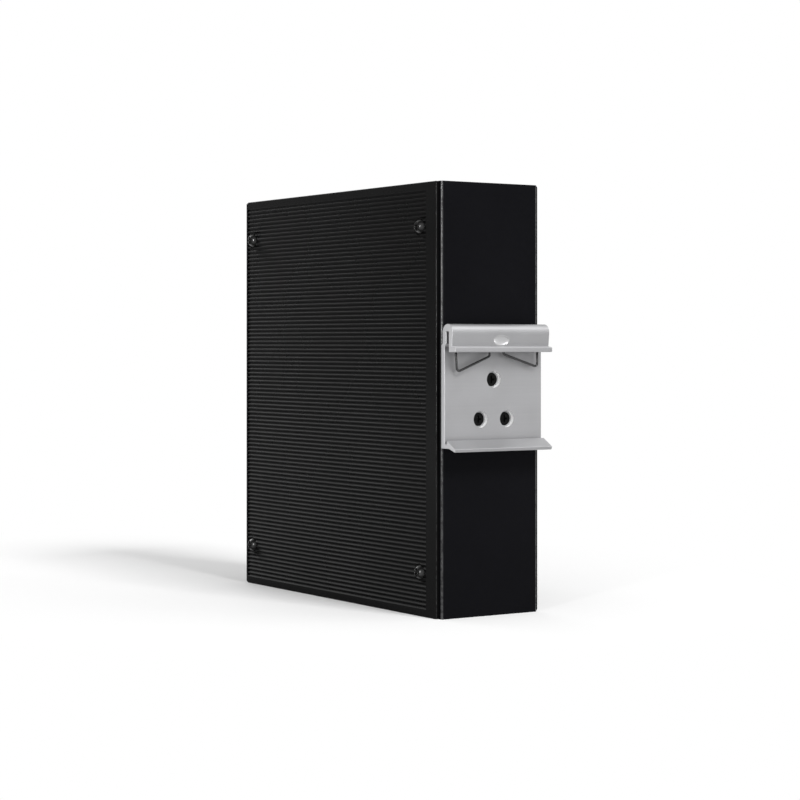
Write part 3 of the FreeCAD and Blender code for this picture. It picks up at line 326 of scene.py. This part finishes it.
def extruded_aluminium(bores, mark):
    """Matt metal with die lines along X: noise stretched along the extrusion.

    Bare metal from the cutter is what lies nearer to a bore's axis than BORE_EDGE and doesn't
    face along Y; it is painted near white, partly as bare metal and partly as a painted highlight
    of the bores' lit walls. The sawn ends face along X and are painted lighter, partly as bare
    sawn metal and partly as painted light. The rounded edges are painted lighter, partly as
    polish and partly as a painted highlight, and the punched mark likewise. The mark is an oval,
    so the distance from its middle counts X by a smaller share than Z.
    """
    metal = Finish("extruded_aluminium", Metallic=1.0)
    lines = metal.noise(1.0, detail=3.0, roughness=0.6, at=metal.place(DIE_STRETCH))
    cloud = metal.noise(90.0, detail=3.0)
    grain = metal.noise(2600.0, detail=1.0)
    tone = metal.between(lines * 0.25 + cloud * 0.75, MIDDLE_OF_NOISE)
    edge_polish_and_highlight = metal.between(metal.slant("XY", "YZ", "XZ"), span=(0.3, 0.48))
    off_y = metal.between(metal.slant("YY"), span=(0.3, 0.5), bottom=1.0, top=0.0)
    inside = [metal.between(metal.off_axis(spot, (1, 0, 1)), BORE_EDGE, bottom=1.0, top=0.0)
              for spot in bores]
    bare_bore_and_highlight = inside[0].largest(inside[1]).largest(inside[2]) * off_y
    sawn_and_lit_ends = metal.between(metal.slant("XX"), span=(0.8, 0.95))
    punch_mark_and_highlight = metal.between(metal.off_axis(mark, MARK_SHARES), MARK_EDGE, bottom=1.0, top=0.0)
    colour = metal.blend(tone, grey(0.335, 0.02), grey(0.365, 0.025))
    # Rounded edges painted lighter: partly metal polished by handling, partly a painted highlight.
    colour = metal.blend(edge_polish_and_highlight, colour, grey(0.44, 0.02))
    # Ends that face along X painted lighter: partly bare sawn metal, partly painted light on the lit
    # end.
    colour = metal.blend(sawn_and_lit_ends, colour, grey(0.47, 0.02))
    # Oval punch mark painted lighter: partly burnished metal, partly a painted highlight.
    colour = metal.blend(punch_mark_and_highlight * 0.7, colour, grey(0.55, 0.01))
    # Bores painted near white: partly bare cut metal, partly a painted highlight of their lit walls.
    metal.drive("Base Color", metal.blend(bare_bore_and_highlight, colour, grey(0.95)))
    metal.drive("Metallic", 1.0 - bare_bore_and_highlight * 0.7)
    gloss = metal.between(cloud + grain * 0.3, span=(0.4, 0.9), bottom=0.54, top=0.62)
    metal.drive("Roughness", gloss - edge_polish_and_highlight * 0.06 - punch_mark_and_highlight * 0.2)
    metal.bump(lines * 0.6 + grain * 0.4, strength=0.15, distance=0.01 * MM)
    return metal


bore_middles = [(low + high) / 2 for low, high in loose_solids("clip_screws")]
clip_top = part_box("din_clip")[1][2]
dress(extruded_aluminium(bore_middles, (0.0, 0.0, clip_top - MARK_DROP)), "din_clip")

# %% [markdown]
# ## Plated and blackened metal
# Screws, nuts, the shield and the contacts are metal with a thin skin: black zinc, black oxide,
# bright zinc, nickel, gold or tin. The spring is plain drawn wire and the heat sink is anodised. The
# gloss of all is broken by fine pits, so one function makes the family and each member has its own
# colour, gloss and pit size. The black skins of the screws hide the metal and shade like a dark
# lacquer, so they aren't metallic. A screw's rim is burnished by the tool that turns it and by the
# tray that it came in, so it may carry the same masked clear coat as the bends of the sheet.

# %% Dress the metal nodes


def plated_metal(name, colour, roughness, pits=1400.0, metallic=1.0, level=0.5, rub=0.0):
    """A metal skin whose gloss and tone vary with a fine noise, and whose pits bump it."""
    metal = Finish(name, Metallic=metallic, Specular_IOR_Level=level,
                   Coat_Roughness=0.12, Coat_IOR=1.8)
    speck = metal.noise(pits, roughness=0.6)
    cloud = metal.noise(220.0)
    tone = metal.between(speck * 0.4 + cloud * 0.6, MIDDLE_OF_NOISE)
    metal.drive("Base Color", metal.blend(tone, dimmed(colour, 0.88), colour))
    metal.drive("Roughness", metal.between(cloud, MOST_OF_NOISE, roughness * 0.8, roughness * 1.2))
    if rub:
        rim = metal.between(metal.slant("XY", "XZ"), span=(0.38, 0.49))
        patches = metal.between(cloud, span=(0.3, 0.6), bottom=0.4)
        metal.drive("Coat Weight", rim * patches * rub)
    metal.bump(speck, strength=0.3, distance=0.006 * MM)
    return metal


black_screw = plated_metal("black_zinc", grey(0.004), 0.13, metallic=0.0, level=0.09, rub=0.8)
sunk_screw = plated_metal("black_oxide", grey(0.004), 0.2, metallic=0.0, level=0.08)
dark_wire = plated_metal("drawn_spring_steel", grey(0.07, 0.02), 0.14)
bright_zinc = plated_metal("bright_zinc", (0.62, 0.62, 0.6, 1.0), 0.3)
nickel_sheet = plated_metal("nickel_sheet", (0.56, 0.55, 0.52, 1.0), 0.28, pits=900.0)
gold_spring = plated_metal("gold_plate", (0.83, 0.58, 0.22, 1.0), 0.24)
tinned_copper = plated_metal("tin_plate", grey(0.66), 0.3)
anodised = plated_metal("black_anodised", grey(0.03), 0.45, metallic=0.4)
dress(sunk_screw, "clip_screws")
dress(bright_zinc, "clip_nuts", "board_standoffs", "board_screws", "earth_nut", "earth_washer")
dress(nickel_sheet, "jack_shield")
dress(gold_spring, "jack_contacts")
dress(tinned_copper, "power_pins")
dress(anodised, "heat_sink")

# %% [markdown]
# ## Moulded plastics and the board
# Sockets, the power inlet, the lights' holder and the chips are moulded. Moulded plastic is even in
# colour and takes a fine spark-eroded texture from its tool, so a small bump and a small change of
# gloss are enough. The inductor's ferrite and the capacitors' sleeves aren't moulded plastic, but
# they look so alike that the same function makes them. The board is a laminate under solder mask,
# with a weave that just shows.

# %% Dress the moulded nodes and the board


def moulded(name, colour, roughness, texture=2200.0, depth=0.012 * MM, coat=0.0, clear=0.0):
    """Plastic with a fine tool texture: one noise drives bump and gloss."""
    plastic = Finish(name, Specular_IOR_Level=0.4, Coat_Weight=coat, Transmission_Weight=clear)
    grain = plastic.noise(texture, roughness=0.55)
    cloud = plastic.noise(160.0)
    tone = plastic.between(grain * 0.3 + cloud * 0.7, MIDDLE_OF_NOISE)
    gloss = plastic.between(grain, MOST_OF_NOISE, roughness - 0.05, roughness + 0.05)
    plastic.drive("Base Color", plastic.blend(tone, dimmed(colour, 0.86), colour))
    plastic.drive("Roughness", gloss)
    plastic.bump(grain, strength=0.3, distance=depth)
    return plastic


def board_laminate():
    """Solder mask over a woven laminate: waves along Y times waves along Z, each with a crest
    every two thirds of a millimetre."""
    mask = Finish("board_laminate", Roughness=0.35)
    where = mask.place()
    waves = [mask.node("ShaderNodeTexWave", {"bands_direction": axis}, {
        "Vector": where, "Scale": 480.0, "Distortion": 0.4}, output="Fac") for axis in "YZ"]
    weave = waves[0] * waves[1]
    mask.drive("Base Color", mask.blend(weave, (0.012, 0.09, 0.035, 1), (0.018, 0.13, 0.05, 1)))
    mask.bump(weave, strength=0.15, distance=0.01 * MM)
    return mask


dress(moulded("socket_plastic", grey(0.012), 0.42), "jack_housing")
dress(moulded("inlet_plastic", (0.02, 0.19, 0.06, 1.0), 0.45), "power_inlet")
dress(moulded("holder_plastic", grey(0.014), 0.5), "light_holder")
dress(moulded("chip_epoxy", grey(0.02), 0.55, texture=1200.0), "switch_chip", "line_transformers")
dress(moulded("ferrite", grey(0.05), 0.7, texture=800.0, depth=0.03 * MM), "power_inductor")
dress(moulded("capacitor_sleeve", (0.012, 0.02, 0.06, 1.0), 0.3), "power_capacitors")
dress(board_laminate(), "main_board")

# %% [markdown]
# ## Status lights
# The lights are clear, tinted bullets. Unlit, such a lens is dark and glossy, so the finish lets a
# part of the light through a deep tint and has a smooth clear coat over it.

# %% Dress the lights
lens = moulded("tinted_lens", (0.045, 0.24, 0.07, 1.0), 0.1, texture=1200.0, depth=0.002 * MM,
               coat=1.0, clear=0.4)
dress(lens, "status_lights")

# %% [markdown]
# ## Surfaces from numpy
# A surface is a grid of points, one row for each step of its first parameter. Wrapping the grid
# closes it round, and a fan of triangles closes a pole. Whole arrays are worked out at once, and
# from_pydata puts them into the mesh.

# %% Grids and pieces


def skin(rows, columns, wrap=True):
    """Quads of a grid with that many rows and columns, as an array of four indices each."""
    down = np.arange(rows - 1)
    across = np.arange(columns if wrap else columns - 1)
    i, j = np.meshgrid(down, across, indexing="ij")
    below = (i + 1) * columns
    beside = (j + 1) % columns
    corners = (i * columns + j, below + j, below + beside, i * columns + beside)
    return np.stack([corner.ravel() for corner in corners], axis=1)


def capped_skin(rings, sides):
    """Faces of a closed surface: quads between its rings, and a fan of triangles at each end.

    The first fan's pole is the point right after those of the rings, the last fan's the next one.
    """
    turn = np.arange(sides)
    following = (turn + 1) % sides
    last = (rings - 1) * sides
    pole = np.full(sides, rings * sides)
    first_fan = np.stack([pole, turn, following], axis=1)
    last_fan = np.stack([pole + 1, last + following, last + turn], axis=1)
    return [skin(rings, sides), first_fan, last_fan]


def piece(name, points, faces, finish, slot, node):
    """Put points and arrays of faces into a smooth mesh that rides on the frame for a node."""
    mesh = bpy.data.meshes.new(name)
    mesh.from_pydata(points.tolist(), [], [face for group in faces for face in group.tolist()])
    mesh.validate()
    mesh.shade_smooth()
    mesh.materials.append(finish.material)
    made = bpy.data.objects.new(name, mesh)
    bpy.context.scene.collection.objects.link(made)
    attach(made, ROOT)
    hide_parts(node)
    print(name, len(mesh.vertices), "points", len(mesh.polygons), "faces")


print("3 rings of 4 points and 2 poles have faces:", [len(part) for part in capped_skin(3, 4)])

# %% [markdown]
# ## Screw heads with a cross recess
# A pan head is a turned dome with a cross punched into it. It could be a cut with a boolean, but a
# height field is cleaner: take rings round the axis, raise them to the dome, and push down the
# points that lie inside the cross. The cross narrows as it goes down, as the punch does.

# %% The surface of a screw
SCREW_SIDES = 96
DOME_RINGS = 45
PAN_DOME = 2.6
RIM_CHAMFER = (0.985, 0.04)
TIP_CHAMFER = (0.8, 0.2)
CROSS_SLOPE = 0.3
CROSS_BOWL = 1.25


def cross_depth(x, y, arm, width, depth):
    """Depth of the punched cross: the larger of its two arms' masks, times a bowl.

    A mask is one on its arm and falls to nought over a short slope. The bowl is a quarter plus
    three quarters of the square root of 1 - r / (CROSS_BOWL * arm), at r from the middle.
    """
    slope = width * CROSS_SLOPE

    def mask(along, across):
        side = np.clip((width / 2 - np.abs(across)) / slope + 0.5, 0, 1)
        return side * np.clip((arm - np.abs(along)) / slope, 0, 1)

    bowl = np.clip(1 - np.hypot(x, y) / (CROSS_BOWL * arm), 0, 1) ** 0.5
    return depth * np.maximum(mask(x, y), mask(y, x)) * (0.25 + 0.75 * bowl)


def screw_surface(radius, height, shank, length, cross):
    """Rings from the head's middle over its dome, down the rim, in at the seat, down the shank.

    The top of the head stands at height * (1 - (r / radius) ** PAN_DOME), less the cross.
    """
    top = radius * np.sin(np.linspace(0, math.pi / 2, DOME_RINGS + 1))[1:]
    rise = height * (1 - (top / radius) ** PAN_DOME)
    rim, rim_rise = RIM_CHAMFER
    tip, tip_rise = TIP_CHAMFER
    rings = np.concatenate([top, [radius, radius * rim, shank, shank, tip * shank]])
    levels = np.concatenate([rise, [rim_rise * height, 0, 0, tip_rise * shank - length, -length]])
    angle = np.linspace(0, 2 * math.pi, SCREW_SIDES, endpoint=False)
    r, a = np.meshgrid(rings, angle, indexing="ij")
    x, y = r * np.cos(a), r * np.sin(a)
    in_top = np.arange(len(rings))[:, None] < len(top)
    z = levels[:, None] - np.where(in_top, cross_depth(x, y, *cross), 0)
    points = np.stack([x, y, z], axis=-1).reshape(-1, 3)
    poles = [[0, 0, height - cross_depth(0.0, 0.0, *cross)], [0, 0, -length]]
    return np.concatenate([points, poles]), capped_skin(len(rings), SCREW_SIDES)


halfway = cross_depth(0.5, 0.0, arm=1.0, width=0.5, depth=1.0)
print("halfway along an arm the cross has", round(float(halfway), 2), "of its depth")

# %% [markdown]
# ## The screws in their places
# One screw shape serves all the screws of a node. Each solid's box in the CAD gives its screw's
# middle, the size of its head and its length, so the new screws stand where the old ones did.

# %% Make the screws that show
PAN_CROSS = (0.56, 0.3, 0.6)


def facing(points, axis):
    """Turn a shape that points along +Z to point along another axis, given as a unit vector."""
    out = np.array(axis, float)
    side = np.cross([0.0, 0.0, 1.0], out)
    side = side / np.linalg.norm(side)
    up = np.cross(out, side)
    return points[:, :1] * side + points[:, 1:2] * up + points[:, 2:] * out


def many(points, faces, places):
    """Copies of one shape at several places, as one set of points and arrays of faces."""
    copies = np.concatenate([points + place for place in places])
    sets = [group + number * len(points) for number in range(len(places)) for group in faces]
    return copies, sets


def make_screws(name, node, slot, axis, head_height, shank, finish):
    """Replace a node of screws: each box gives its screw's middle, head size and length.

    The cross is sized by the head: arm and width by its radius, depth by its height.
    """
    index = int(np.argmax(np.abs(axis)))
    boxes = loose_solids(node)
    size = boxes[0][1] - boxes[0][0]
    radius = np.delete(size, index).max() / 2
    arm, width, depth = PAN_CROSS
    points, faces = screw_surface(radius, head_height, shank, size[index] - head_height,
                                  (arm * radius, width * radius, depth * head_height))
    places = []
    for low, high in boxes:
        place = (low + high) / 2
        top = high[index] if axis[index] > 0 else low[index]
        place[index] = top - axis[index] * head_height
        places.append(place)
    piece(name, *many(facing(points, axis), faces, places), finish, slot, node)


for side, way in (("right", 1), ("left", -1)):
    make_screws("pan_heads_" + side, "cover_screws_" + side, "black_screw", (way, 0, 0),
                head_height=1.9 * MM, shank=1.45 * MM, finish=black_screw)
make_screws("earth_head", "earth_screw", "zinc_steel", (0, -1, 0),
            head_height=2.4 * MM, shank=1.95 * MM, finish=bright_zinc)

# %% [markdown]
# ## The wire spring
# One length of drawn wire is bent to two V-shaped legs that press on the rail. A bent wire is a
# circle carried along a path: straight runs, joined by arcs. The path is worked out first, then a
# ring of points is set square to it at every step, so the tube keeps its thickness round the bends.
# The staked middle holds the wire a little askew, as such hand-fitted springs always are.

# %% A path and its tube
ARC_POINTS = 10
TUBE_SIDES = 20
END_SIZE = 0.7
END_STEP = 0.3


def rounded_path(corners, radius):
    """A line through flat corners with each inner corner rounded.

    At a corner the arc starts radius * tan(half the turn) before it and bends round a centre
    that lies on the inside, square to the incoming run.
    """
    line = [corners[0]]
    for before, corner, after in zip(corners[:-2], corners[1:-1], corners[2:]):
        into = (corner - before) / np.linalg.norm(corner - before)
        out = (after - corner) / np.linalg.norm(after - corner)
        turn = math.atan2(into[0] * out[1] - into[1] * out[0], into @ out)
        way = math.copysign(1, turn)
        start = corner - into * radius * math.tan(abs(turn) / 2)
        inside = way * np.array([-into[1], into[0]])
        swept = np.linspace(0, turn, ARC_POINTS)[:, None]
        spoke = inside * np.cos(swept) - way * into * np.sin(swept)
        line.extend(start + radius * inside - radius * spoke)
    return np.array([*line, corners[-1]])


def tube_surface(path, radius):
    """Rings square to a path that lies in the plane of X and Z, with closed ends.

    A ring's points are path + radius * (cos a * across + sin a * Y), where across is square to
    the path's direction; the ends shrink to a point through a small rounding.
    """
    way = np.gradient(path, axis=0)
    way = way / np.linalg.norm(way, axis=1)[:, None]
    across = np.stack([-way[:, 1], way[:, 0]], axis=1)
    across = np.concatenate([across[:1], across, across[-1:]])
    step = END_STEP * radius * way
    centres = np.concatenate([path[:1], path[:1] + step[:1], path[1:-1],
                              path[-1:] - step[-1:], path[-1:]])
    size = np.full(len(centres), radius)
    size[[0, -1]] = END_SIZE * radius
    angle = np.linspace(0, 2 * math.pi, TUBE_SIDES, endpoint=False)
    flat = centres[:, None] + (size[:, None] * np.cos(angle))[..., None] * across[:, None]
    deep = size[:, None] * np.sin(angle)
    rings = np.stack([flat[..., 0], deep, flat[..., 1]], axis=-1).reshape(-1, 3)
    poles = np.insert(centres[[0, -1]], 1, 0.0, axis=1)
    return np.concatenate([rings, poles]), capped_skin(len(centres), TUBE_SIDES)


square_turn = np.array([(0.0, 0.0), (5.0, 0.0), (5.0, 5.0)])
print("a path with one square turn has", len(rounded_path(square_turn, 1.0)), "points")

# %% Bend the spring
# x of each corner, and its height above the spring's top, in millimetres
SPRING_CORNERS = [(17.2, 0.0), (16.1, -12.7), (2.9, -7.5), (2.5, -1.35),
                  (-2.5, -1.35), (-2.9, -6.8), (-17.0, -11.2), (-17.1, 0.0)]
SPRING_BEND = 1.0 * MM

low, high = (np.array(corner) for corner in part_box("clip_spring"))
wire = high[1] - low[1]
spring_corners = MM * np.array(SPRING_CORNERS)
spring_corners[:, 1] += high[2]
points, faces = tube_surface(rounded_path(spring_corners, SPRING_BEND), wire / 2)
points[:, 1] += (low + high)[1] / 2
piece("bent_wire", points, faces, dark_wire, "spring_steel", "clip_spring")

# %% [markdown]
# ## Floor and background
# The switch stands on plain white paper that runs into a white background. Paper that is lit like
# the switch would look grey and end in a grey horizon, and more light would bleach the switch. So
# the paper turns by itself to pure white with distance, and a little extra white is added near the
# switch, only for what the camera or a mirror sees. The shadow stays, because it darkens the
# paper's own part. The world does the same: full white to look at, and softer for the light that it
# gives.

# %% Floor
SHADOW_MIDDLE = (0.0, -0.08, 0.0)
SHADOW_SHARES = (1, 0.8, 1)
SHADOW_EDGE = (0.1, 0.18)
PAPER_LIFT = 0.045
FLOOR_REACH = 3.0
FLOOR_LINES = 13


def make_floor(finish):
    """A flat grid of squares, much larger than the view, at the height nought."""
    side = np.linspace(-FLOOR_REACH, FLOOR_REACH, FLOOR_LINES)
    x, y = np.meshgrid(side, side, indexing="ij")
    points = np.stack([x, y, np.zeros_like(x)], axis=-1).reshape(-1, 3)
    quads = skin(FLOOR_LINES, FLOOR_LINES, wrap=False)[:, ::-1]
    mesh = bpy.data.meshes.new("floor")
    mesh.from_pydata(points.tolist(), [], quads.tolist())
    mesh.materials.append(finish.material)
    made = bpy.data.objects.new("floor", mesh)
    bpy.context.scene.collection.objects.link(made)


def white_paper():
    """Matt paper that the camera sees turn to pure white away from the shadow."""
    paper = Finish("white_paper", Roughness=0.95, Specular_IOR_Level=0.0)
    paper.drive("Base Color", paper.blend(paper.noise(300.0), grey(0.89), grey(0.91)))
    white, lift = (paper.node("ShaderNodeEmission", {}, {"Color": grey(1.0), "Strength": power})
                   for power in (1.0, PAPER_LIFT))
    own = Value(paper, paper.shader.outputs[0])
    lifted = paper.node("ShaderNodeAddShader", {}, {0: own, 1: lift})
    away = paper.between(paper.off_axis(SHADOW_MIDDLE, SHADOW_SHARES), SHADOW_EDGE)
    seen = paper.either(away, lifted, white)
    surface = paper.either(paper.background_rays(), own, seen)
    paper.feed(paper.tree.nodes["Material Output"].inputs["Surface"], surface)
    return paper


make_floor(white_paper())
print("paper turns white between", SHADOW_EDGE[0], "and", SHADOW_EDGE[1], "m")

# %% World
WORLD_LIGHT = 0.45
WORLD_SEEN = 1.0

world = bpy.data.worlds.new("studio")
bpy.context.scene.world = world
world.use_nodes = True
world.node_tree.nodes.clear()
studio = Nodes(world.node_tree)
soft, bright = (studio.node("ShaderNodeBackground", {}, {"Color": grey(1.0), "Strength": power})
                for power in (WORLD_LIGHT, WORLD_SEEN))
sky = studio.either(studio.background_rays(), soft, bright)
studio.node("ShaderNodeOutputWorld", {}, {"Surface": sky}, output=None)
print("world:", world.name, "gives", WORLD_LIGHT, "and looks like", WORLD_SEEN)

# %% [markdown]
# ## Lamps
# A large key lamp stands high behind the camera's right shoulder and throws the soft shadow over
# the paper. A tall narrow strip stands where the rounded bends and the bores of the clip mirror it
# to the camera, so that they show as thin bright lines; the bores and the clip's edges also carry a
# painted highlight in their colour. A wide lamp beyond the front end grazes the finned side, and
# the slopes of the fins that look up catch it. A low one lifts the lowest fins.
# Two weak ones keep the other side from going quite black: one grazes it from beyond the front end,
# and a tall narrow one stands beside it.

# %% Set the lamps
MIDDLE = (0, 0, 0.07)


def aim(thing, spot, target):
    """Put a lamp or the camera at a spot and point it at a target."""
    way = np.array(target) - np.array(spot)
    thing.location = spot
    thing.rotation_euler = (math.atan2(math.hypot(way[0], way[1]), -way[2]), 0,
                            math.atan2(-way[0], way[1]))


def soft_lamp(name, spot, size, power, target=MIDDLE):
    """An area lamp, size wide and high, that points at the switch and isn't seen itself."""
    lamp = bpy.data.lights.new(name, "AREA")
    lamp.shape = "RECTANGLE"
    lamp.size, lamp.size_y = size
    lamp.energy = power
    made = bpy.data.objects.new(name, lamp)
    bpy.context.scene.collection.objects.link(made)
    made.visible_camera = False
    aim(made, spot, target)
    print(name, "lamp at", spot)


soft_lamp("key", (-0.08, 1.03, 1.05), size=(0.42, 0.42), power=14.5)
soft_lamp("strip", (0.92, 0.61, 0.09), size=(0.06, 0.8), power=4.5)
soft_lamp("graze", (0.28, -1.0, 0.54), size=(0.5, 0.5), power=2.2, target=(0.02, 0, 0.06))
soft_lamp("low", (0.4, -0.3, 0.03), size=(0.3, 0.05), power=0.12, target=(0.02, 0, 0.02))
soft_lamp("far", (-0.33, -1.0, 0.54), size=(0.5, 0.5), power=2.4, target=(-0.02, 0, 0.06))
soft_lamp("edge", (-0.92, 0.5, 0.12), size=(0.1, 0.7), power=1.4)

# %% [markdown]
# ## Camera
# The camera stands off the corner between the rear wall and the finned side, so that both are in
# view. It looks level, and its frame is shifted down instead of tilted, so that the upright edges
# stay parallel.

# %% Set the camera
EYE = np.array((0.4116, 0.6427, 0.0917))
LOOK = math.radians(33.055)

camera_data = bpy.data.cameras.new("camera")
camera_data.lens = 94.4
camera_data.sensor_width = 36.0
camera_data.shift_y = -0.0702
camera_data.clip_start = 0.05
camera_data.clip_end = 20.0
camera = bpy.data.objects.new("camera", camera_data)
bpy.context.scene.collection.objects.link(camera)
bpy.context.scene.camera = camera
aim(camera, EYE, EYE + np.array((-math.sin(LOOK), -math.cos(LOOK), 0.0)))
print("camera at", EYE.round(3), "lens", round(camera_data.lens, 1))

# %% View settings
bpy.context.scene.view_settings.view_transform = "Standard"
print("view transform:", bpy.context.scene.view_settings.view_transform)
